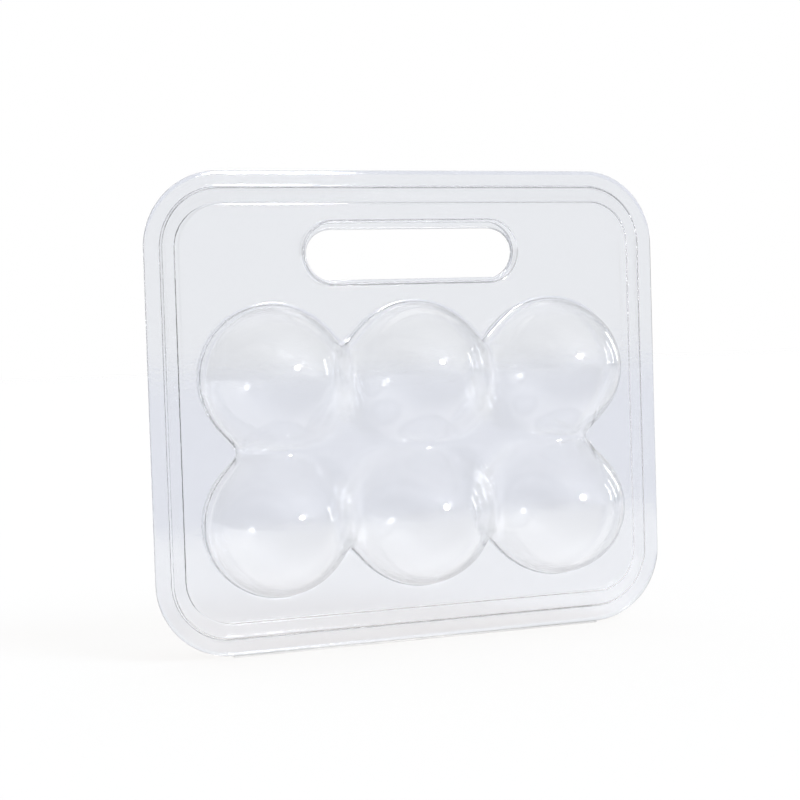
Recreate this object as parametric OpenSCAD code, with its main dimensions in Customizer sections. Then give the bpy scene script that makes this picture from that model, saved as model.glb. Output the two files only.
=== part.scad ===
// Clear clamshell carrier for six eggs: two mirrored formed shells joined by a fold along the bottom.
// +X is to the right, the front shell faces -Y, +Z is up. The shells meet at Y = 0.

/* [Shell outline] */
// Width over the flange, mm
carton_w = 174; // [170:1:190]
// Height from the fold to the top edge, mm
carton_h = 151; // [148:1:170]
// Thickness of the formed sheet, mm
sheet_t = 0.5; // [0.4:0.1:0.8]
// Outer corner radius of the flange, mm
corner_r = 24; // [20:1:28]
// Width of the flat flange, mm
flange_w = 5; // [4:0.5:6]
// Width of the sloping wall between flange and panel, mm
bevel_w = 5.4; // [4:0.2:6]
// Height of the panel's outer face above the meeting plane, mm
panel_h = 3; // [2:0.5:4]

/* [Egg cells] */
// Centre distance of the columns, mm
pitch_x = 48; // [47:0.5:49]
// Centre distance of the rows, mm
pitch_z = 46; // [46:0.5:47]
// Height of the lower row's centres, mm
row_z = 40.5; // [40:0.5:42]
// Outer radius of a cell at the meeting plane, mm
cell_r = 22.4; // [21:0.2:22.6]
// Depth of a cell from the meeting plane to its outer tip, mm
cell_depth = 28.5; // [26:0.5:31]
// Outer radius of the channel that joins a cell to the one above it, mm
link_up_r = 13; // [10:0.5:14]
// Outer radius of the channel that joins a cell to the one beside it, mm
link_side_r = 11; // [9:0.5:13]

/* [Hand slot] */
// Width of the slot's recess in the panel, mm
slot_w = 73; // [65:1:80]
// Height of the slot's recess in the panel, mm
slot_h = 20; // [18:1:22]
// Height of the recess's middle above the fold, mm
slot_z = 125; // [124:0.5:126]
// Width of the lip left around the hole at the two ends, mm
lip_end = 1.2; // [0.8:0.1:2]
// Width of the lip above the hole, mm
lip_top = 2.6; // [1:0.2:3]
// Width of the lip below the hole, mm
lip_bottom = 1.5; // [1:0.1:3]

/* [Hidden] */
CELLS = [
    ["cell_top_left", -1, 1], ["cell_top_middle", 0, 1], ["cell_top_right", 1, 1],
    ["cell_bottom_left", -1, 0], ["cell_bottom_middle", 0, 0], ["cell_bottom_right", 1, 0]
];

$fn = 96;
PROFILE_STEPS = 14;          // straight steps in a cell's rounded profile
CLEAR_SHEET = "gainsboro";
FOLD_SHEET = "silver";

panel_inset = flange_w + bevel_w;            // outline of the flat panel, in from the flange's edge
panel_in = panel_h - sheet_t;                // inner face of the panel
shell_z0 = sheet_t;                          // the shells start above the fold
corner_x = carton_w / 2 - corner_r;
corner_low_z = shell_z0 + corner_r;
corner_high_z = carton_h - corner_r;
tiles_x = 1.5 * pitch_x;                     // half width of the block of six cells
tiles_low_z = row_z - pitch_z / 2;
tiles_high_z = row_z + 1.5 * pitch_z;
span = carton_w + carton_h;                  // longer than the carton in any direction

// A flat outline drawn in X and Z, raised from y0 to y1.
module raise(y0, y1) {
    translate([0, y1, 0]) rotate([90, 0, 0]) linear_extrude(height = y1 - y0) children();
}

// Everything below is drawn for the back shell. The front shell is its mirror image.
module on_side(side) {
    if (side == "back") children();
    else mirror([0, 1, 0]) children();
}

// Rounded outline of the carton, moved in by inset.
module outline(inset) {
    r = corner_r - inset;
    for (x = [-corner_x, corner_x], z = [corner_low_z, corner_high_z])
        translate([x, z]) circle(r = r);
    translate([-corner_x - r, corner_low_z]) square([2 * (corner_x + r), corner_high_z - corner_low_z]);
    translate([-corner_x, corner_low_z - r]) square([2 * corner_x, corner_high_z - corner_low_z + 2 * r]);
}

// Flat rim that meets the other shell's rim.
module flange(side) {
    color(CLEAR_SHEET) on_side(side) raise(0, sheet_t)
        difference() {
            outline(0);
            outline(flange_w);
        }
}

// Section of the sloping wall. The first coordinate is the distance from a corner's centre.
module bevel_section() {
    foot = corner_r - flange_w;
    top = foot - bevel_w;
    polygon([[foot, 0], [foot, sheet_t], [top, panel_h], [top, panel_in]]);
}

// A corner of the sloping wall, and the straight wall that leads up to it.
module bevel_run(x, z, angle, run) {
    translate([x, 0, z]) rotate([0, angle, 0]) {
        mirror([0, 1, 0]) rotate([90, 0, 0]) rotate_extrude(angle = 90) bevel_section();
        translate([0, 0, -run]) linear_extrude(height = run) bevel_section();
    }
}

// Sloping wall from the flange up to the panel.
module bevel(side) {
    run_x = 2 * corner_x;
    run_z = corner_high_z - corner_low_z;
    color(CLEAR_SHEET) on_side(side) {
        bevel_run(corner_x, corner_high_z, 0, run_z);
        bevel_run(-corner_x, corner_high_z, -90, run_x);
        bevel_run(-corner_x, corner_low_z, -180, run_z);
        bevel_run(corner_x, corner_low_z, -270, run_x);
    }
}

// Part of the flat panel beside and below the egg cells.
module margin(side) {
    color(CLEAR_SHEET) on_side(side) raise(panel_in, panel_h)
        difference() {
            outline(panel_inset);
            translate([-tiles_x, tiles_low_z]) square([2 * tiles_x, carton_h]);
            translate([-carton_w, tiles_high_z]) square([2 * carton_w, carton_h]);
        }
}

// Long hole with round ends, between two heights.
module stadium(width, low, high) {
    r = (high - low) / 2;
    end_x = width / 2 - r;
    for (x = [-end_x, end_x]) translate([x, low + r]) circle(r = r);
    translate([-end_x, low]) square([2 * end_x, 2 * r]);
}

module slot_outline() {
    stadium(slot_w, slot_z - slot_h / 2, slot_z + slot_h / 2);
}

// Part of the flat panel above the egg cells, with the recess for the hand slot.
module handle_panel(side) {
    color(CLEAR_SHEET) on_side(side) raise(panel_in, panel_h)
        difference() {
            intersection() {
                outline(panel_inset);
                translate([-carton_w, tiles_high_z]) square([2 * carton_w, carton_h]);
            }
            slot_outline();
        }
}

// Wall of the slot's recess down to the meeting plane, and the lip around the hole.
module slot_rim(side) {
    low = slot_z - slot_h / 2;
    high = slot_z + slot_h / 2;
    color(CLEAR_SHEET) on_side(side) {
        raise(sheet_t, panel_h)
            difference() {
                slot_outline();
                stadium(slot_w - 2 * sheet_t, low + sheet_t, high - sheet_t);
            }
        raise(0, sheet_t)
            difference() {
                slot_outline();
                stadium(slot_w - 2 * lip_end, low + lip_bottom, high - lip_top);
            }
    }
}

// Half of an egg-shaped body, cut off flat at the height y0.
module half_egg(r, depth, y0) {
    start = asin(y0 / depth);
    profile = [for (i = [0:PROFILE_STEPS])
        let (a = start + (90 - start) * i / PROFILE_STEPS) [r * cos(a), depth * sin(a)]];
    rotate([-90, 0, 0]) rotate_extrude() polygon(concat([[0, y0]], profile));
}

// Half-round channel from a cell's centre towards its neighbour in the direction [dx, dz].
module link(dx, dz, r, y0, overrun) {
    reach = (dz != 0 ? pitch_z / 2 : pitch_x / 2) + overrun;
    intersection() {
        if (dz != 0) translate([0, 0, dz > 0 ? 0 : -reach]) cylinder(r = r, h = reach);
        else rotate([0, dx * 90, 0]) cylinder(r = r, h = reach);
        translate([-span / 2, y0, -span / 2]) cube([span, span, span]);
    }
}

// One cell with its channels, smaller by wall all round. The channels overrun the middle between cells
// by the same amount, so that taking the small body from the full one leaves their ends open.
module cell_body(column, row, wall, y0) {
    half_egg(cell_r - wall, cell_depth - wall, y0);
    link(0, row == 0 ? 1 : -1, link_up_r - wall, y0, wall);
    if (column > -1) link(-1, 0, link_side_r - wall, y0, wall);
    if (column < 1) link(1, 0, link_side_r - wall, y0, wall);
}

// One egg cell with the panel around it, up to the middle between it and its neighbours.
module cell(side, column, row) {
    color(CLEAR_SHEET) on_side(side) translate([column * pitch_x, 0, row_z + row * pitch_z])
        difference() {
            union() {
                translate([-pitch_x / 2, panel_in, -pitch_z / 2]) cube([pitch_x, sheet_t, pitch_z]);
                cell_body(column, row, 0, panel_in);
            }
            cell_body(column, row, sheet_t, 0);
        }
}

// Folded strip of sheet that joins the two shells along the bottom.
module hinge_fold() {
    color(FOLD_SHEET) translate([-corner_x, -sheet_t, 0]) cube([2 * corner_x, 2 * sheet_t, sheet_t]);
}

hinge_fold();
for (side = ["back", "front"]) {
    flange(side);
    bevel(side);
    margin(side);
    handle_panel(side);
    slot_rim(side);
    for (c = CELLS)
        cell(side, c[1], c[2]);
}
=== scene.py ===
import math

import bmesh
import bpy
import numpy as np
from mathutils import Matrix, Vector
from mathutils.geometry import delaunay_2d_cdt


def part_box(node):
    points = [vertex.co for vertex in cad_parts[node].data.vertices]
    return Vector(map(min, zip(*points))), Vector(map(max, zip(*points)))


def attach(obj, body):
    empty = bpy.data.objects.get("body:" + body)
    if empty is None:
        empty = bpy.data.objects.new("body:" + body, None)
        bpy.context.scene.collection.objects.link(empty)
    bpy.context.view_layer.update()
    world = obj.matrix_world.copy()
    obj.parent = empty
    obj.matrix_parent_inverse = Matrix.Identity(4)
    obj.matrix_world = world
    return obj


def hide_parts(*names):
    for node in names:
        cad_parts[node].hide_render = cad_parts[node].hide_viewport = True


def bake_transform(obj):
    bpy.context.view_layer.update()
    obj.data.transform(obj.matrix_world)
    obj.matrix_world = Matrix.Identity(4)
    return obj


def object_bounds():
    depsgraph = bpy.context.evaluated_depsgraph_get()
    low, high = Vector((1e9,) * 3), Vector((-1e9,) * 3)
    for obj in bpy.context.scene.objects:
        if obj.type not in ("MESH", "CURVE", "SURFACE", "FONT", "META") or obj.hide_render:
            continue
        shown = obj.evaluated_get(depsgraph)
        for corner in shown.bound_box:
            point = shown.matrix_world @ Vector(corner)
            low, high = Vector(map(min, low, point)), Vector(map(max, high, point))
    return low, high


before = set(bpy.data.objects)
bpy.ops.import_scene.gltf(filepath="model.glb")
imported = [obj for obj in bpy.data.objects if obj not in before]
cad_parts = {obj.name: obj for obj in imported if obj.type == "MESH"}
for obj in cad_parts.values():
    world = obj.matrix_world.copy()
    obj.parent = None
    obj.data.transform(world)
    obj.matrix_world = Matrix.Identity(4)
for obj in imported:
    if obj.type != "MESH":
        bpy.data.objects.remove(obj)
CAD_BOX = [list(corner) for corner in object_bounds()]

bl_info = {
    "name": "Clear egg carton",
    "version": (1, 0, 0),
    "blender": (4, 5, 0),
    "location": "3D View > Sidebar > Egg carton",
    "description": "Builds a clear clamshell carton for six eggs around its packed frame",
    "category": "Add Mesh",
}

MM = 0.001
SIDES = ("back", "front")
CELL_NAMES = [f"cell_{row}_{column}" for row in ("bottom", "top") for column in ("left", "middle", "right")]
SHELL_PARTS = ["flange", "bevel", "margin", "handle_panel", "slot_rim"] + CELL_NAMES


def box_mm(node):
    """Lowest and highest corner of a frame node, in millimetres."""
    low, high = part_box(node)
    return np.array(low) / MM, np.array(high) / MM


# ---------------------------------------------------------------- sizes taken from the frame

FLANGE_LOW, FLANGE_HIGH = box_mm("back_flange")
BEVEL_HIGH = box_mm("back_bevel")[1]
MARGIN_HIGH = box_mm("back_margin")[1]
SLOT_LOW, SLOT_HIGH = box_mm("back_slot_rim")
FOLD_LOW, FOLD_HIGH = box_mm("hinge_fold")
CELL_BOXES = [box_mm(f"back_{name}") for name in CELL_NAMES]
CELL_X = sorted({round(float(low[0] + high[0]) / 2, 3) for low, high in CELL_BOXES})
CELL_Z = sorted({round(float(low[2] + high[2]) / 2, 3) for low, high in CELL_BOXES})
CELL_DEPTH = float(max(high[1] for low, high in CELL_BOXES))
SHEET = float(FLANGE_HIGH[1] - FLANGE_LOW[1])               # thickness of the formed sheet
PANEL_Y = float(MARGIN_HIGH[1])                             # the panel's outer face above the meeting plane
FLANGE_WIDTH = float(FLANGE_HIGH[0] - BEVEL_HIGH[0])
PANEL_INSET = float(FLANGE_HIGH[0] - MARGIN_HIGH[0])        # the panel's outline, in from the flange's edge


# ---------------------------------------------------------------- settings a user would change

class CartonShellSettings(bpy.types.PropertyGroup):
    """Sizes of the formed shells that the frame doesn't give."""
    corner_radius: bpy.props.FloatProperty(
        name="Corner radius", description="Radius of the flange's outer corners",
        default=24 * MM, min=20 * MM, max=28 * MM, subtype="DISTANCE", unit="LENGTH")
    cell_radius: bpy.props.FloatProperty(
        name="Cell radius", description="Outer radius of an egg cell where the shells meet",
        default=22.4 * MM, min=20 * MM, max=23 * MM, subtype="DISTANCE", unit="LENGTH")
    cell_fillet: bpy.props.FloatProperty(
        name="Cell fillet", description="Radius between a cell's wall and the panel",
        default=1.5 * MM, min=1 * MM, max=5 * MM, subtype="DISTANCE", unit="LENGTH")
    channel_blend: bpy.props.FloatProperty(
        name="Channel blend", description="How softly neighbouring cells flow into each other",
        default=3 * MM, min=1 * MM, max=6 * MM, subtype="DISTANCE", unit="LENGTH")
    crease_radius: bpy.props.FloatProperty(
        name="Crease radius", description="Outer radius of the creases beside the flange and the panel",
        default=0.2 * MM, min=0.1 * MM, max=2 * MM, subtype="DISTANCE", unit="LENGTH")
    shell_gap: bpy.props.FloatProperty(
        name="Gap", description="Free space between each shell and the plane where they meet",
        default=0.03 * MM, min=0.01 * MM, max=0.1 * MM, subtype="DISTANCE", unit="LENGTH")


class CartonFinishSettings(bpy.types.PropertyGroup):
    """Finish of the plastic and the floor."""
    sheet_tint: bpy.props.StringProperty(
        name="Sheet tint", description="Colour that light takes on in the sheet, as a hex value", default="#F6F7F9")
    sheet_roughness: bpy.props.FloatProperty(
        name="Sheet roughness", description="Roughness of the formed surface", default=0.03, min=0.0, max=0.3)
    crease_roughness: bpy.props.FloatProperty(
        name="Crease roughness", description="Roughness of the fold, where the sheet was creased",
        default=0.12, min=0.0, max=0.5)
    floor_colour: bpy.props.StringProperty(
        name="Floor colour", description="Colour of the paper floor, as a hex value", default="#F1F1F1")


# ---------------------------------------------------------------- outlines

def rounded_rectangle(low, high, radius, spacing):
    """Points and outward normals round a rectangle with round corners, counter-clockwise from the lower right."""
    points, normals = [], []
    corners = [((high[0] - radius, low[1] + radius), -90), ((high[0] - radius, high[1] - radius), 0),
               ((low[0] + radius, high[1] - radius), 90), ((low[0] + radius, low[1] + radius), 180)]
    arc_steps = max(4, round(math.pi / 2 * radius / spacing))
    for index, (centre, start) in enumerate(corners):
        for step in range(arc_steps + 1):
            angle = math.radians(start + 90 * step / arc_steps)
            normal = np.array([math.cos(angle), math.sin(angle)])
            points.append(np.array(centre) + radius * normal)
            normals.append(normal)
        following, next_start = corners[(index + 1) % 4]
        turn = math.radians(next_start)
        begin, end = points[-1], np.array(following) + radius * np.array([math.cos(turn), math.sin(turn)])
        run = np.linalg.norm(end - begin)
        steps = max(1, round(run / spacing))
        for step in range(1, steps):
            points.append(begin + (end - begin) * step / steps)
            normals.append(normals[-1])
    return np.array(points), np.array(normals)


def fillet_profile(corners, radii, steps, run_step):
    """A flat profile through corners, each inner corner rounded to its radius, with points along the runs."""
    corners = [np.array(c, float) for c in corners]
    made = [corners[0]]
    for index in range(1, len(corners) - 1):
        here = corners[index]
        back = (corners[index - 1] - here) / np.linalg.norm(corners[index - 1] - here)
        ahead = (corners[index + 1] - here) / np.linalg.norm(corners[index + 1] - here)
        half = math.acos(max(-1.0, min(1.0, float(back @ ahead)))) / 2
        reach = radii[index - 1] / math.tan(half)
        middle = (back + ahead) / np.linalg.norm(back + ahead)
        centre = here + middle * radii[index - 1] / math.sin(half)
        first, last = here + back * reach, here + ahead * reach
        a0 = math.atan2(*(first - centre)[::-1])
        a1 = math.atan2(*(last - centre)[::-1])
        turn = (a1 - a0 + math.pi) % (2 * math.pi) - math.pi
        for step in range(steps + 1):
            a = a0 + turn * step / steps
            made.append(centre + radii[index - 1] * np.array([math.cos(a), math.sin(a)]))
    made.append(corners[-1])
    spaced = [made[0]]
    for here in made[1:]:
        run = np.linalg.norm(here - spaced[-1])
        pieces = max(1, math.ceil(run / run_step))
        begin = spaced[-1]
        spaced += [begin + (here - begin) * k / pieces for k in range(1, pieces + 1)]
    return np.array(spaced)


def inside(points, loop):
    """Which points lie inside a closed loop, by crossings."""
    result = np.zeros(len(points), bool)
    a, b = loop, np.roll(loop, -1, axis=0)
    for (x0, y0), (x1, y1) in zip(a, b):
        crosses = (y0 > points[:, 1]) != (y1 > points[:, 1])
        if y1 != y0:
            at = x0 + (points[:, 1] - y0) / (y1 - y0) * (x1 - x0)
            result ^= crosses & (points[:, 0] < at)
    return result


# ---------------------------------------------------------------- the cells' form

def soft_union(distances, blend):
    """The smallest of several distances, rounded off where some are nearly equal."""
    return -blend * np.log(sum(np.exp(-d / blend) for d in distances))


# Every part of the form is given as a distance that stands for how far a point is from a cell's centre.
BRIDGE_REACH = 21.5     # at the middle between four cells, where a floor joins them
BRIDGE_CURVE = 60.0     # how fast that floor gives way to the cells
UP_REACH, UP_CURVE = 23.6, 26.0         # along the channel between a cell and the one above it, and across it
SIDE_REACH, SIDE_CURVE = 25.4, 34.0     # the same between a cell and the one beside it
CHANNEL_FADE = 70.0     # how fast a channel gives way to the cells at its ends


class CellForm:
    """Height of the outer surface over the meeting plane, near the egg cells."""

    def __init__(self, radius, fillet, blend):
        self.radius, self.fillet, self.blend = radius, fillet, blend
        low, high = 0.0, math.pi / 2
        for _ in range(60):          # where a ball of the fillet's radius touches both wall and panel
            t = (low + high) / 2
            length = math.hypot(CELL_DEPTH * math.cos(t), radius * math.sin(t))
            if CELL_DEPTH * math.sin(t) + fillet * radius * math.sin(t) / length < PANEL_Y + fillet:
                low = t
            else:
                high = t
        self.wall_end = radius * math.cos(t)
        self.foot = self.wall_end + fillet * CELL_DEPTH * math.cos(t) / length

    def distance(self, x, z):
        distances = [np.hypot(x - cx, z - cz) for cx in CELL_X for cz in CELL_Z]
        middle_z = sum(CELL_Z) / 2
        for middle_x in ((CELL_X[0] + CELL_X[1]) / 2, (CELL_X[1] + CELL_X[2]) / 2):
            away = (x - middle_x) ** 2 + (z - middle_z) ** 2
            distances.append(BRIDGE_REACH + away / (2 * BRIDGE_CURVE))
            distances += [SIDE_REACH + (z - cz) ** 2 / (2 * SIDE_CURVE) + (x - middle_x) ** 2 / (2 * CHANNEL_FADE)
                          for cz in CELL_Z]
        distances += [UP_REACH + (x - cx) ** 2 / (2 * UP_CURVE) + (z - middle_z) ** 2 / (2 * CHANNEL_FADE)
                      for cx in CELL_X]
        return soft_union(distances, self.blend)

    def height(self, x, z):
        s = self.distance(x, z)
        dome = CELL_DEPTH * np.sqrt(np.clip(1 - (s / self.radius) ** 2, 0, 1))
        arc = PANEL_Y + self.fillet - np.sqrt(np.clip(self.fillet ** 2 - (s - self.foot) ** 2, 0, None))
        return np.where(s < self.wall_end, dome, np.where(s < self.foot, arc, PANEL_Y))


CELL_MARGIN = 26.0      # how far a cell's patch of mesh reaches where it has no neighbour
RAY_STEP = 1.5          # spacing of a patch's outer points
RINGS = 42              # rings of mesh from a cell's tip to the edge of its patch


def run_points(begin, end, spacing):
    """Evenly spaced points from begin up to, but not including, end."""
    begin, end = np.array(begin, float), np.array(end, float)
    steps = max(1, round(np.linalg.norm(end - begin) / spacing))
    return [begin + (end - begin) * k / steps for k in range(steps)]


def patch_outline(column, row):
    """Outer points of one cell's patch, counter-clockwise, as (x, z), and which belong to the block's outside."""
    cx, cz = CELL_X[column], CELL_Z[row]
    half_x, half_z = (CELL_X[1] - CELL_X[0]) / 2, (CELL_Z[1] - CELL_Z[0]) / 2
    up = half_z if row == 0 else CELL_MARGIN
    down = CELL_MARGIN if row == 0 else half_z
    right = half_x if column < 2 else CELL_MARGIN
    left = CELL_MARGIN if column == 0 else half_x
    corners = [(right, -down), (right, up), (-left, up), (-left, -down)]
    open_side = [column == 2, row == 1, column == 0, row == 0]       # right, top, left, bottom
    points = []
    for index in range(4):
        begin, end = np.array(corners[index]), np.array(corners[(index + 1) % 4])
        here_open, next_open = open_side[index], open_side[(index + 1) % 4]
        before_open = open_side[(index - 1) % 4]
        if here_open and before_open:
            begin = begin * (1, 0) if index % 2 == 0 else begin * (0, 1)
        if here_open and next_open:
            end = end * (1, 0) if index % 2 == 0 else end * (0, 1)
        points += [(p, here_open) for p in run_points(begin, end, RAY_STEP)]
        if here_open and next_open:
            start = math.atan2(end[1], end[0])
            steps = round(math.pi / 2 * CELL_MARGIN / RAY_STEP)
            points += [(CELL_MARGIN * np.array([math.cos(a), math.sin(a)]), True)
                       for a in (start + math.pi / 2 * k / steps for k in range(steps))]
    return np.array([p + (cx, cz) for p, _ in points]), [o for _, o in points]


def ring_places(form, centre, edge):
    """Shares of the way from a cell's centre to a point of its patch's edge, close together where the wall bends."""
    t = np.linspace(0, 1, 700)
    xz = centre + np.outer(t, edge - centre)
    y = form.height(xz[:, 0], xz[:, 1])
    step = np.diff(np.hypot(*(edge - centre)) * t)
    rise = np.diff(y)
    length = np.hypot(step, rise)
    slope = np.arctan2(rise, step)
    bend = np.abs(np.diff(slope, prepend=slope[0]))
    amount = np.concatenate([[0], np.cumsum(length / length.sum() + 0.7 * bend / max(bend.sum(), 1e-9))])
    return np.interp(np.linspace(0, amount[-1], RINGS + 1), amount, t)


class Surface:
    """Points and faces collected piece by piece, joined where points coincide."""

    def __init__(self):
        self.points, self.faces, self.count = [], [], 0

    def add(self, points, faces):
        self.points.append(np.asarray(points, float))
        self.faces += [tuple(int(i) + self.count for i in face) for face in faces]
        self.count += len(points)

    def add_bands(self, rings):
        """Quads between closed rings, each an array of as many points."""
        size = len(rings[0])
        faces = [(r * size + k, r * size + (k + 1) % size, (r + 1) * size + (k + 1) % size, (r + 1) * size + k)
                 for r in range(len(rings) - 1) for k in range(size)]
        self.add(np.concatenate(rings), faces)

    def joined(self):
        points = np.concatenate(self.points)
        _, first, where = np.unique(np.round(points, 4), axis=0, return_index=True, return_inverse=True)
        where = where.reshape(-1)
        faces = []
        for face in self.faces:
            kept = []
            for i in face:
                j = int(where[i])
                if j not in kept:
                    kept.append(j)
            if len(kept) > 2:
                faces.append(kept)
        return points[first], faces


def add_cells(surface, form):
    """The six cells. Returns the outer points of their block in order round it."""
    edges = {}
    for row in range(2):
        for column in range(3):
            centre = np.array([CELL_X[column], CELL_Z[row]])
            outline, is_open = patch_outline(column, row)
            places = np.array([ring_places(form, centre, p) for p in outline])
            rings = []
            for index in range(1, RINGS + 1):
                xz = centre + places[:, index, None] * (outline - centre)
                y = form.height(xz[:, 0], xz[:, 1])
                rings.append(np.stack([xz[:, 0], y, xz[:, 1]], axis=1))
            surface.add_bands(rings)
            tip = [centre[0], CELL_DEPTH, centre[1]]
            size = len(outline)
            surface.add(np.vstack([rings[0], tip]), [((k + 1) % size, k, size) for k in range(size)])
            for k in range(size):
                if is_open[k]:
                    a, b = outline[k], outline[(k + 1) % size]
                    edges[tuple(np.round(a, 3))] = (tuple(np.round(b, 3)), a)
    start = next(iter(edges))
    loop, key = [], start
    while True:
        key, point = edges[key]
        loop.append(point)
        if key == start:
            return np.array(loop)


# ---------------------------------------------------------------- flange, bevel and slot

RISER = 1.0             # steep foot of the sloping wall, above the flange
TOP_STEP = 0.45         # small step where the sloping wall meets the panel
FLAT_EDGE = 2.0         # flat panel kept in the bands beside the bevel
FOLD_ROOM = 0.06        # kept between the flange and the fold, so that the opened shells don't touch
OUTLINE_STEP = 1.6      # spacing of points round the carton
SLOT_STEP = 1.2         # spacing of points round the hand slot
SLOT_LIP_ENDS = 1.2     # width of the recess's wall and lip, at the ends and below
SLOT_LIP_TOP = 2.6      # and above
SLOT_HOLE_LOW = 1.5     # the hole's straight lower edge, above the recess's lower side
SLOT_DRAFT = 0.5        # how far the recess's wall leans in


def add_edge_bands(surface, corner_radius, crease):
    """Flange, sloping wall and the panel's rim. Returns the innermost ring."""
    low = (FLANGE_LOW[0], FLANGE_LOW[2] + FOLD_ROOM)
    high = (FLANGE_HIGH[0], FLANGE_HIGH[2])
    points, normals = rounded_rectangle(low, high, corner_radius, OUTLINE_STEP)
    profile = fillet_profile(
        [(0, SHEET), (FLANGE_WIDTH - 0.1, SHEET), (FLANGE_WIDTH + 0.35, SHEET + RISER),
         (PANEL_INSET - TOP_STEP, PANEL_Y - TOP_STEP), (PANEL_INSET, PANEL_Y), (PANEL_INSET + FLAT_EDGE, PANEL_Y)],
        [crease * 1.5, crease + SHEET, crease, crease + SHEET], 4, 1.8)
    rings = []
    for inset, y in profile:
        xz = points - normals * inset
        rings.append(np.stack([xz[:, 0], np.full(len(xz), y), xz[:, 1]], axis=1))
    surface.add_bands(rings)
    return rings[-1][:, [0, 2]]


def add_slot(surface):
    """The hand slot's recess down to its hole. Returns the ring where it joins the panel."""
    low, high = (SLOT_LOW[0], SLOT_LOW[2]), (SLOT_HIGH[0], SLOT_HIGH[2])
    points, normals = rounded_rectangle(low, high, (high[1] - low[1]) / 2, SLOT_STEP)
    lean = np.where(normals[:, 1] > 0, normals[:, 1] ** 2, 0)
    width = SLOT_LIP_ENDS + (SLOT_LIP_TOP - SLOT_LIP_ENDS) * lean
    foot = SLOT_DRAFT + 0.35
    profile = fillet_profile(
        [(-1.5, PANEL_Y), (0, PANEL_Y), (SLOT_DRAFT, SHEET), (foot, SHEET)], [0.7, 0.3], 5, 0.8)
    rings = []
    for inset, y in profile:
        xz = points - normals * inset
        rings.append(np.stack([xz[:, 0], np.full(len(xz), y), xz[:, 1]], axis=1))
    hole = points - normals * width[:, None]
    hole[:, 1] = np.maximum(hole[:, 1], low[1] + SLOT_HOLE_LOW)
    last = rings[-1][:, [0, 2]]
    for share in (0.5, 1.0):
        xz = last + (hole - last) * share
        rings.append(np.stack([xz[:, 0], np.full(len(xz), SHEET), xz[:, 1]], axis=1))
    surface.add_bands(rings)
    return rings[0][:, [0, 2]]


PANEL_GRID = 4.0        # spacing of free points in the flat panel
PANEL_CLEAR = 2.2       # how far they keep from its edges


def add_panel(surface, outer, block, slot):
    """The flat panel between the bevel, the block of cells and the hand slot."""
    loops = [outer, block, slot]
    xs = np.arange(outer[:, 0].min(), outer[:, 0].max(), PANEL_GRID)
    zs = np.arange(outer[:, 1].min(), outer[:, 1].max(), PANEL_GRID)
    grid = np.stack(np.meshgrid(xs, zs), axis=-1).reshape(-1, 2)
    grid[:, 0] += np.where(np.round((grid[:, 1] - zs[0]) / PANEL_GRID) % 2 > 0, PANEL_GRID / 2, 0)
    kept = inside(grid, outer) & ~inside(grid, block) & ~inside(grid, slot)
    edge = np.concatenate(loops)
    near = np.array([np.min(np.hypot(*(edge - g).T)) for g in grid])
    grid = grid[kept & (near > PANEL_CLEAR)]
    points = np.concatenate([edge, grid])
    constraints, start = [], 0
    for loop in loops:
        size = len(loop)
        constraints += [(start + k, start + (k + 1) % size) for k in range(size)]
        start += size
    made, _, faces, sources, _, _ = delaunay_2d_cdt([Vector(p) for p in points], constraints, [], 0, 1e-5)
    made = np.array([points[source[0]] if source else tuple(v) for v, source in zip(made, sources)])
    middles = np.array([made[list(f)].mean(axis=0) for f in faces])
    wanted = inside(middles, outer) & ~inside(middles, block) & ~inside(middles, slot)
    surface.add(np.stack([made[:, 0], np.full(len(made), PANEL_Y), made[:, 1]], axis=1),
                [f for f, keep in zip(faces, wanted) if keep])


# ---------------------------------------------------------------- objects

def mesh_object(name, points, faces, scale=MM):
    """A new smooth-shaded mesh object in the scene."""
    mesh = bpy.data.meshes.new(name)
    mesh.from_pydata([tuple(p * scale) for p in np.asarray(points, float)], [], [list(f) for f in faces])
    mesh.update()
    made = bpy.data.objects.new(name, mesh)
    bpy.context.scene.collection.objects.link(made)
    return made


def apply_modifiers(piece):
    """Makes the evaluated mesh the piece's own."""
    bpy.context.view_layer.update()
    evaluated = piece.evaluated_get(bpy.context.evaluated_depsgraph_get())
    mesh = bpy.data.meshes.new_from_object(evaluated)
    piece.modifiers.clear()
    piece.data = mesh


SAME_POINT = 0.002 * MM


def clean_mesh(piece):
    """Joins doubled points, drops what has no area, and turns all faces outward."""
    bm = bmesh.new()
    bm.from_mesh(piece.data)
    bmesh.ops.remove_doubles(bm, verts=bm.verts, dist=SAME_POINT)
    bmesh.ops.dissolve_degenerate(bm, edges=bm.edges, dist=SAME_POINT)
    bmesh.ops.recalc_face_normals(bm, faces=bm.faces)
    bm.to_mesh(piece.data)
    bm.free()


def smooth(piece, angle=math.radians(50)):
    """Smooth shading, with an edge kept where faces meet at more than the angle."""
    for polygon in piece.data.polygons:
        polygon.use_smooth = True
    piece.data.set_sharp_from_angle(angle=angle)


CUT_EDGE = 0.12         # rounding of the sheet's cut edges


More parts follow.
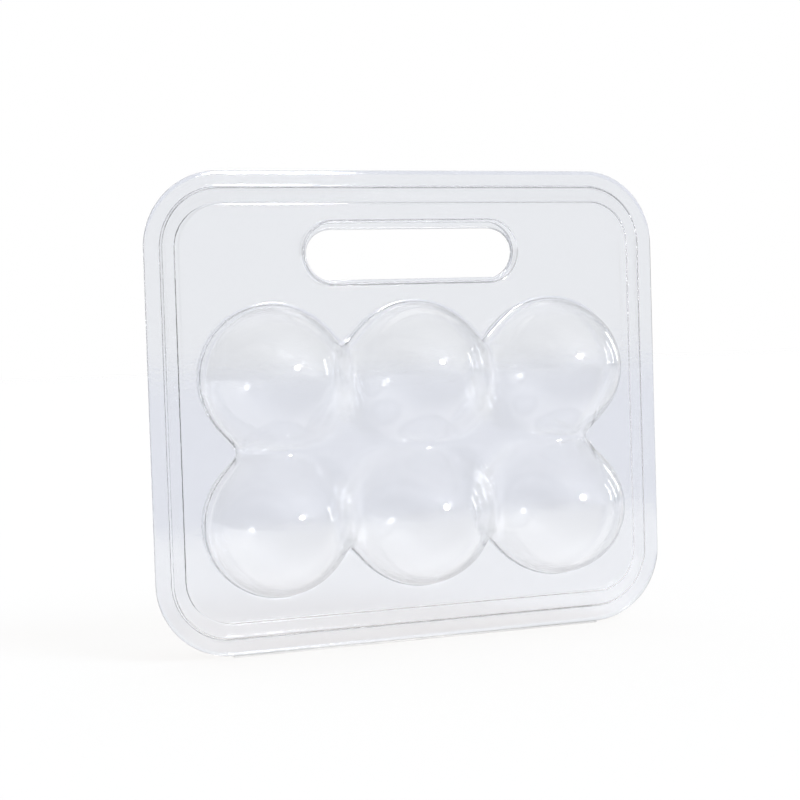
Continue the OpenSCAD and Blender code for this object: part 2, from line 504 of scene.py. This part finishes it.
def build_shell(side, settings):
    """One shell as a single closed sheet with rolled-over cut edges."""
    form = CellForm(settings.cell_radius / MM, settings.cell_fillet / MM, settings.channel_blend / MM)
    surface = Surface()
    block = add_cells(surface, form)
    outer = add_edge_bands(surface, settings.corner_radius / MM, settings.crease_radius / MM)
    slot = add_slot(surface)
    add_panel(surface, outer, block, slot)
    points, faces = surface.joined()
    points[:, 1] += settings.shell_gap / MM
    if side == "front":
        points[:, 1] *= -1
    piece = mesh_object(f"{side}_shell", points, faces)
    bm = bmesh.new()
    bm.from_mesh(piece.data)
    bmesh.ops.recalc_face_normals(bm, faces=bm.faces)
    bm.faces.ensure_lookup_table()
    top = max(bm.faces, key=lambda f: abs(f.calc_center_median().y))
    out = 1 if side == "back" else -1
    if top.normal.y * out < 0:
        bmesh.ops.reverse_faces(bm, faces=bm.faces)
    bm.to_mesh(piece.data)
    bm.free()
    solid = piece.modifiers.new("sheet", "SOLIDIFY")
    solid.thickness = SHEET * MM
    solid.offset = -1
    solid.use_even_offset = True
    solid.use_rim = True
    rim = piece.modifiers.new("cut edge", "BEVEL")
    rim.limit_method = "ANGLE"
    rim.angle_limit = math.radians(60)
    rim.width = CUT_EDGE * MM
    rim.segments = 2
    apply_modifiers(piece)
    clean_mesh(piece)
    smooth(piece)
    return piece


FOLD_INNER = 0.1        # inner radius of the creased strip
FOLD_TURNS = 14         # straight steps round its half circle
FOLD_STATIONS = 64      # and points along it


def build_fold():
    """The creased strip between the shells, a half-round trough of sheet."""
    outer, inner = (FOLD_HIGH[1] - FOLD_LOW[1]) / 2, FOLD_INNER
    middle = FOLD_HIGH[2]
    arc = [math.pi * k / FOLD_TURNS for k in range(FOLD_TURNS + 1)]
    section = [(outer * math.cos(a), middle - outer * math.sin(a)) for a in arc]
    section += [(inner * math.cos(a), middle - inner * math.sin(a)) for a in reversed(arc)]
    stations = np.linspace(FOLD_LOW[0], FOLD_HIGH[0], FOLD_STATIONS)
    size = len(section)
    points = [(x, y, z) for x in stations for y, z in section]
    faces = [(s * size + k, s * size + (k + 1) % size, (s + 1) * size + (k + 1) % size, (s + 1) * size + k)
             for s in range(len(stations) - 1) for k in range(size)]
    faces += [tuple(range(size)), tuple((len(stations) - 1) * size + k for k in reversed(range(size)))]
    piece = mesh_object("bottom_fold", points, faces)
    clean_mesh(piece)
    smooth(piece)
    return piece


# ---------------------------------------------------------------- materials

def linear(hex_colour):
    """sRGB hex value as linear red, green, blue and alpha."""
    values = [int(hex_colour.lstrip("#")[i:i + 2], 16) / 255 for i in (0, 2, 4)]
    return tuple(v / 12.92 if v <= 0.04045 else ((v + 0.055) / 1.055) ** 2.4 for v in values) + (1.0,)


def add_node(tree, kind, settings=None, **links):
    """A new node with its settings and links. An input is set or linked by its name, with _ for a space in a
    link, or by its number, as 7 in a setting and in7 in a link. stops are a ramp's places and colours."""
    node = tree.nodes.new(kind)
    for key, value in (settings or {}).items():
        if key == "stops":
            elements = node.color_ramp.elements
            while len(elements) < len(value):
                elements.new(0.5)
            for element, (place, colour) in zip(elements, value):
                element.position = place
                element.color = linear(colour) if isinstance(colour, str) else (colour, colour, colour, 1)
        elif isinstance(key, int) or key in node.inputs:
            node.inputs[key].default_value = value
        else:
            setattr(node, key, value)
    for key, source in links.items():
        numbered = key.startswith("in") and key[2:].isdigit()
        tree.links.new(source, node.inputs[int(key[2:]) if numbered else key.replace("_", " ")])
    return node


def new_material(name):
    material = bpy.data.materials.new(name)
    material.use_nodes = True
    material.node_tree.nodes.clear()
    return material


def clear_sheet_material(settings, name, roughness, through):
    """Clear PET sheet, thermoformed: glassy, faintly blue, with the soft waves of a sheet that was heated and
    drawn. The waves break the reflections of the lights. A crease is a little cloudy.
    through is the colour of the light that passes each surface on its way to the floor."""
    material = new_material(name)
    tree = material.node_tree
    place = add_node(tree, "ShaderNodeTexCoord")
    waves = add_node(tree, "ShaderNodeTexNoise",                # 70 to a metre: waves about 14 mm across
                     {"Scale": 70.0, "Detail": 2.0, "Roughness": 0.5}, Vector=place.outputs["Object"])
    wave_bump = add_node(tree, "ShaderNodeBump", {"Strength": 0.13, "Distance": 0.0002}, Height=waves.outputs["Fac"])
    peel = add_node(tree, "ShaderNodeTexNoise",                 # 900 to a metre: about 1.1 mm, coarser than real
                    {"Scale": 900.0, "Detail": 3.0, "Roughness": 0.55}, Vector=place.outputs["Object"])
    peel_bump = add_node(tree, "ShaderNodeBump", {"Strength": 0.5, "Distance": 0.00006},
                         Height=peel.outputs["Fac"], Normal=wave_bump.outputs["Normal"])
    plastic = add_node(tree, "ShaderNodeBsdfPrincipled", {
        "Base Color": linear(settings.sheet_tint), "Roughness": roughness,
        "IOR": 1.57, "Transmission Weight": 1.0}, Normal=peel_bump.outputs["Normal"])
    lets_light_through = add_node(tree, "ShaderNodeBsdfTransparent", {"Color": linear(through)})
    path = add_node(tree, "ShaderNodeLightPath")
    lit_through = add_node(tree, "ShaderNodeMath", {"operation": "MAXIMUM"},
                           in0=path.outputs["Is Shadow Ray"], in1=path.outputs["Is Diffuse Ray"])
    mix = add_node(tree, "ShaderNodeMixShader", None, Fac=lit_through.outputs[0],
                   in1=plastic.outputs[0], in2=lets_light_through.outputs[0])
    add_node(tree, "ShaderNodeOutputMaterial", None, Surface=mix.outputs[0])
    return material


# Painted shade that the plastic mirrors and bends from the paper, by depth: grey in front, white near the carton,
# bluish grey far behind. Each stop is a share of the way from 4 m in front to 4 m behind.
PAPER_PAINTED_SHADES = ((0.49, "#B4B5B8"), (0.49625, "#FAFAFA"), (0.53875, "#FAFAFA"), (0.545, "#EBECF0"))
PAPER_VIEW_THROUGH = 0.6                # share of the camera's view that passes the paper


def paper_material(settings):
    """Matte white paper sweep with no gloss. To the camera it is an even pale ground that takes soft shadows. To the
    plastic it shows painted shade, grey in front and bluish grey far behind, which darkens and tints the plastic's
    reflections and refractions. It lets most of the view through, so that a shell that is opened out below its level
    can still be seen."""
    material = new_material("matte_paper_floor")
    tree = material.node_tree
    place = add_node(tree, "ShaderNodeTexCoord")
    fibre = add_node(tree, "ShaderNodeTexNoise",                # 400 to a metre: fibre clumps of 2.5 mm
                     {"Scale": 400.0, "Detail": 3.0}, Vector=place.outputs["Object"])
    bump = add_node(tree, "ShaderNodeBump", {"Strength": 0.05, "Distance": 0.0001}, Height=fibre.outputs["Fac"])
    # Painted shade for every ray but the camera's: the paper's colour by depth, which the plastic mirrors and bends.
    depth = add_node(tree, "ShaderNodeSeparateXYZ", None, Vector=place.outputs["Object"])
    share = add_node(tree, "ShaderNodeMapRange", {"From Min": -FLOOR_REACH, "From Max": FLOOR_REACH},
                     Value=depth.outputs["Y"])
    painted_shade = add_node(tree, "ShaderNodeValToRGB", {"stops": PAPER_PAINTED_SHADES}, Fac=share.outputs[0])
    path = add_node(tree, "ShaderNodeLightPath")
    colour = add_node(tree, "ShaderNodeMix", {"data_type": "RGBA", 7: linear(settings.floor_colour)},
                      Factor=path.outputs["Is Camera Ray"], in6=painted_shade.outputs["Color"])
    paper = add_node(tree, "ShaderNodeBsdfDiffuse", None, Color=colour.outputs[2], Normal=bump.outputs["Normal"])
    view_through = add_node(tree, "ShaderNodeBsdfTransparent")
    seen_through = add_node(tree, "ShaderNodeMath", {"operation": "MULTIPLY", 1: PAPER_VIEW_THROUGH},
                            in0=path.outputs["Is Camera Ray"])
    mix = add_node(tree, "ShaderNodeMixShader", None, Fac=seen_through.outputs[0],
                   in1=paper.outputs[0], in2=view_through.outputs[0])
    add_node(tree, "ShaderNodeOutputMaterial", None, Surface=mix.outputs[0])
    return material


# ---------------------------------------------------------------- studio

FLOOR_REACH = 4.0                       # metres from the carton to each edge of the paper
FLOOR_DROP = 0.02 * MM                  # the paper lies this far under the carton
KEY_SOFTNESS = 24                       # degrees that the key light fills
SOFTBOX_DISTANCE = 0.9                  # metres
STRIP_AZIMUTHS = (82, 97, 115)          # strip lamps at the right and behind


def aim(thing, target):
    direction = Vector(target) - thing.location
    thing.rotation_mode = "QUATERNION"
    thing.rotation_quaternion = direction.to_track_quat("-Z", "Y")


def seen_from(target, direction, distance):
    """A place in a direction (azimuth from -Y towards +X, and height, in degrees) from the target."""
    azimuth, height = (math.radians(a) for a in direction)
    return Vector(target) + distance * Vector(
        (math.sin(azimuth) * math.cos(height), -math.cos(azimuth) * math.cos(height), math.sin(height)))


def add_lamp(name, kind, direction, distance, strength, target):
    data = bpy.data.lights.new(name, kind)
    data.energy = strength
    lamp = bpy.data.objects.new(name, data)
    bpy.context.scene.collection.objects.link(lamp)
    lamp.location = seen_from(target, direction, distance)
    aim(lamp, target)
    lamp.visible_camera = False
    return lamp


def add_softbox(name, direction, size, strength, target, shape="RECTANGLE"):
    """A lamp that the plastic mirrors and that leaves the floor alone."""
    lamp = add_lamp(name, "AREA", direction, SOFTBOX_DISTANCE, strength, target)
    lamp.data.shape = shape
    lamp.data.size = size[0]
    if shape == "RECTANGLE":
        lamp.data.size_y = size[1]
    lamp.visible_diffuse = False


def add_key_light(direction, strength, target):
    """The even key light on the floor. It is too wide to be mirrored as a lamp, so the plastic doesn't show it."""
    lamp = add_lamp("key_light", "SUN", direction, 1, strength, target)
    lamp.data.angle = math.radians(KEY_SOFTNESS)
    lamp.visible_glossy = lamp.visible_transmission = False


# What the plastic mirrors and bends: bright behind it, greyer in front of it, greyer above, and dark on the left.
# Each stop is a share of the way from -1 to 1 of a direction's depth, height or side, and a colour or a grey.
WALL_DEPTH = ((0.0, "#C9CACD"), (0.2, "#CBCCCF"), (0.36, "#A6A8AB"), (0.6, "#A3A5A8"), (0.8, "#FFFFFF"))
WALL_HEIGHT = ((0.565, 1.0), (0.67, 0.8), (1.0, 1.0))
WALL_SIDE = ((0.125, 0.12), (0.4, 1.0))
BELOW_FLOOR = ((0.47, 1.0), (0.485, 0.0))
BELOW_COLOUR = "#E6E8EC"                # only a shell that is opened out under the floor's level sees it
BACKDROP = (0.98, 0.98, 0.98, 1)        # what the camera sees behind everything
FILL_LIGHT = (0.72, 0.72, 0.73, 1)      # what the walls give the paper floor
WALL_STRENGTH = 1.02


def build_world():
    """Pale studio walls, with their own shades for the plastic, the camera and the floor."""
    world = bpy.data.worlds.new("studio")
    bpy.context.scene.world = world
    world.use_nodes = True
    tree = world.node_tree
    tree.nodes.clear()
    place = add_node(tree, "ShaderNodeTexCoord")
    direction = add_node(tree, "ShaderNodeSeparateXYZ", None, Vector=place.outputs["Generated"])

    def shade(axis, stops):
        share = add_node(tree, "ShaderNodeMapRange", {"From Min": -1, "From Max": 1}, Value=direction.outputs[axis])
        return add_node(tree, "ShaderNodeValToRGB", {"stops": stops}, Fac=share.outputs[0]).outputs["Color"]

    walls = shade("Y", WALL_DEPTH)
    for axis, stops in (("Z", WALL_HEIGHT), ("X", WALL_SIDE)):
        walls = add_node(tree, "ShaderNodeMix", {"data_type": "RGBA", "blend_type": "MULTIPLY", "Factor": 1.0},
                         in6=walls, in7=shade(axis, stops)).outputs[2]
    path = add_node(tree, "ShaderNodeLightPath")
    for share, colour in ((shade("Z", BELOW_FLOOR), linear(BELOW_COLOUR)),
                          (path.outputs["Is Camera Ray"], BACKDROP), (path.outputs["Is Diffuse Ray"], FILL_LIGHT)):
        walls = add_node(tree, "ShaderNodeMix", {"data_type": "RGBA", 7: colour}, Factor=share, in6=walls).outputs[2]
    back = add_node(tree, "ShaderNodeBackground", {"Strength": WALL_STRENGTH}, Color=walls)
    add_node(tree, "ShaderNodeOutputWorld", None, Surface=back.outputs[0])


VIEW_YAW, VIEW_HEIGHT, VIEW_ROLL = 21.0, 2.3, -1.78        # degrees
VIEW_DISTANCE, VIEW_LENS = 0.5697, 79.875                   # metres, millimetres
VIEW_AIM = (-0.0051, 0.0, 0.0022)                           # from the middle of the carton


def build_camera():
    low, high = (Vector(c) for c in CAD_BOX)
    yaw, height, roll = (math.radians(a) for a in (VIEW_YAW, VIEW_HEIGHT, VIEW_ROLL))
    forward = Vector((math.sin(yaw) * math.cos(height), math.cos(yaw) * math.cos(height), -math.sin(height)))
    right = Vector((math.cos(yaw), -math.sin(yaw), 0))
    up = right.cross(forward)
    right, up = (math.cos(roll) * right + math.sin(roll) * up, math.cos(roll) * up - math.sin(roll) * right)
    data = bpy.data.cameras.new("camera")
    data.lens = VIEW_LENS
    data.clip_start, data.clip_end = 0.01, 50
    camera = bpy.data.objects.new("camera", data)
    bpy.context.scene.collection.objects.link(camera)
    target = (low + high) / 2 + Vector(VIEW_AIM)
    turn = Matrix((right, up, -forward)).transposed()
    camera.matrix_world = Matrix.Translation(target - forward * VIEW_DISTANCE) @ turn.to_4x4()
    bpy.context.scene.camera = camera


# ---------------------------------------------------------------- operators

class CARTON_OT_shells(bpy.types.Operator):
    """Build the back and the front shell"""
    bl_idname = "carton.shells"
    bl_label = "Build shells"

    def execute(self, context):
        settings = context.scene.carton_shell
        finish = context.scene.carton_finish
        material = clear_sheet_material(finish, "thermoformed_clear_pet", finish.sheet_roughness, "#FAF9F8")
        for side in SIDES:
            piece = build_shell(side, settings)
            piece.data.materials.clear()
            piece.data.materials.append(material)
            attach(piece, f"{side}_shell")
            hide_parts(*(f"{side}_{part}" for part in SHELL_PARTS))
        return {"FINISHED"}


class CARTON_OT_fold(bpy.types.Operator):
    """Build the fold that joins the shells"""
    bl_idname = "carton.fold"
    bl_label = "Build fold"

    def execute(self, context):
        finish = context.scene.carton_finish
        material = clear_sheet_material(finish, "creased_clear_pet", finish.crease_roughness, "#B0ABA6")
        piece = build_fold()
        piece.data.materials.append(material)
        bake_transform(piece)
        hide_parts("hinge_fold")
        return {"FINISHED"}


class CARTON_OT_stage(bpy.types.Operator):
    """Set up the floor, the lamps, the surroundings and the camera"""
    bl_idname = "carton.stage"
    bl_label = "Build stage"

    def execute(self, context):
        finish = context.scene.carton_finish
        reach = FLOOR_REACH
        corners = [(-reach, -reach, 0), (reach, -reach, 0), (reach, reach, 0), (-reach, reach, 0)]
        floor = mesh_object("floor", corners, [(0, 1, 2, 3)], 1.0)
        floor.location.z = CAD_BOX[0][2] - FLOOR_DROP
        floor.data.materials.append(paper_material(finish))
        middle = (Vector(CAD_BOX[0]) + Vector(CAD_BOX[1])) / 2
        add_key_light((36, 44), 1.85, middle)
        add_softbox("round_lamp_front", (14, 21), (0.13, 0.13), 6.0, middle, shape="DISK")
        for index, azimuth in enumerate(STRIP_AZIMUTHS):
            add_softbox(f"strip_lamp_{index}", (azimuth, 12), (0.012, 0.3), 0.36, middle)
        build_world()
        build_camera()
        scene = context.scene
        scene.view_settings.view_transform = "Standard"
        scene.cycles.max_bounces = 24
        scene.cycles.transmission_bounces = 24
        scene.cycles.glossy_bounces = 12
        scene.cycles.transparent_max_bounces = 24
        scene.cycles.caustics_reflective = False
        scene.cycles.caustics_refractive = False
        return {"FINISHED"}


class CARTON_PT_panel(bpy.types.Panel):
    """Lists the carton's steps and settings"""
    bl_idname = "CARTON_PT_panel"
    bl_label = "Clear egg carton"
    bl_space_type = "VIEW_3D"
    bl_region_type = "UI"
    bl_category = "Egg carton"

    def draw(self, context):
        for settings in (context.scene.carton_shell, context.scene.carton_finish):
            for name in settings.__annotations__:
                self.layout.prop(settings, name)
        for operator in ("carton.shells", "carton.fold", "carton.stage"):
            self.layout.operator(operator)


CLASSES = (CartonShellSettings, CartonFinishSettings, CARTON_OT_shells, CARTON_OT_fold, CARTON_OT_stage,
           CARTON_PT_panel)


def register():
    for item in CLASSES:
        bpy.utils.register_class(item)
    bpy.types.Scene.carton_shell = bpy.props.PointerProperty(type=CartonShellSettings)
    bpy.types.Scene.carton_finish = bpy.props.PointerProperty(type=CartonFinishSettings)


def unregister():
    del bpy.types.Scene.carton_shell, bpy.types.Scene.carton_finish
    for item in reversed(CLASSES):
        bpy.utils.unregister_class(item)


def main():
    register()
    bpy.ops.carton.shells()
    bpy.ops.carton.fold()
    bpy.ops.carton.stage()


if __name__ == "__main__":
    main()
